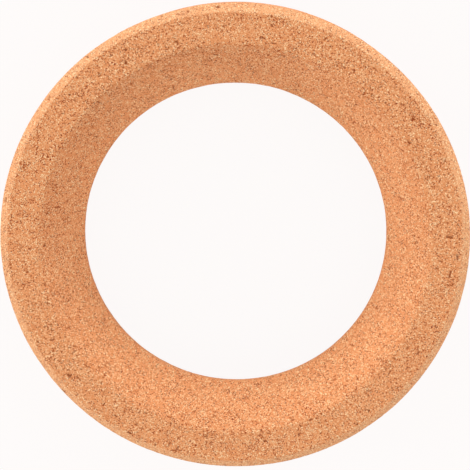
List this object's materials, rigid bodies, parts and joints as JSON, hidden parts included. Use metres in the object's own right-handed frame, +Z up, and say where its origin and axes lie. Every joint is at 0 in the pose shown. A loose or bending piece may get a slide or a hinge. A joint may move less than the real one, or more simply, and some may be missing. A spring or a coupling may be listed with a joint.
{
  "type": "cork ring",
  "caption": "Pressed-cork ring that stands a round-bottomed flask upright on the bench. Either face may be up: each has a conical seat, and the seats meet at a narrow throat.",
  "frame": {"origin": "on the bench, in the middle of the ring's lower face", "axes": "+Z up along the ring's axis, out of the upper seat; X and Y are alike, because the ring is round"},
  "size_m": [0.14, 0.14, 0.03],
  "materials": {
    "cork": "matte"
  },
  "bodies": {
    "root": {"cork_ring": "cork"}
  },
  "joints": []
}
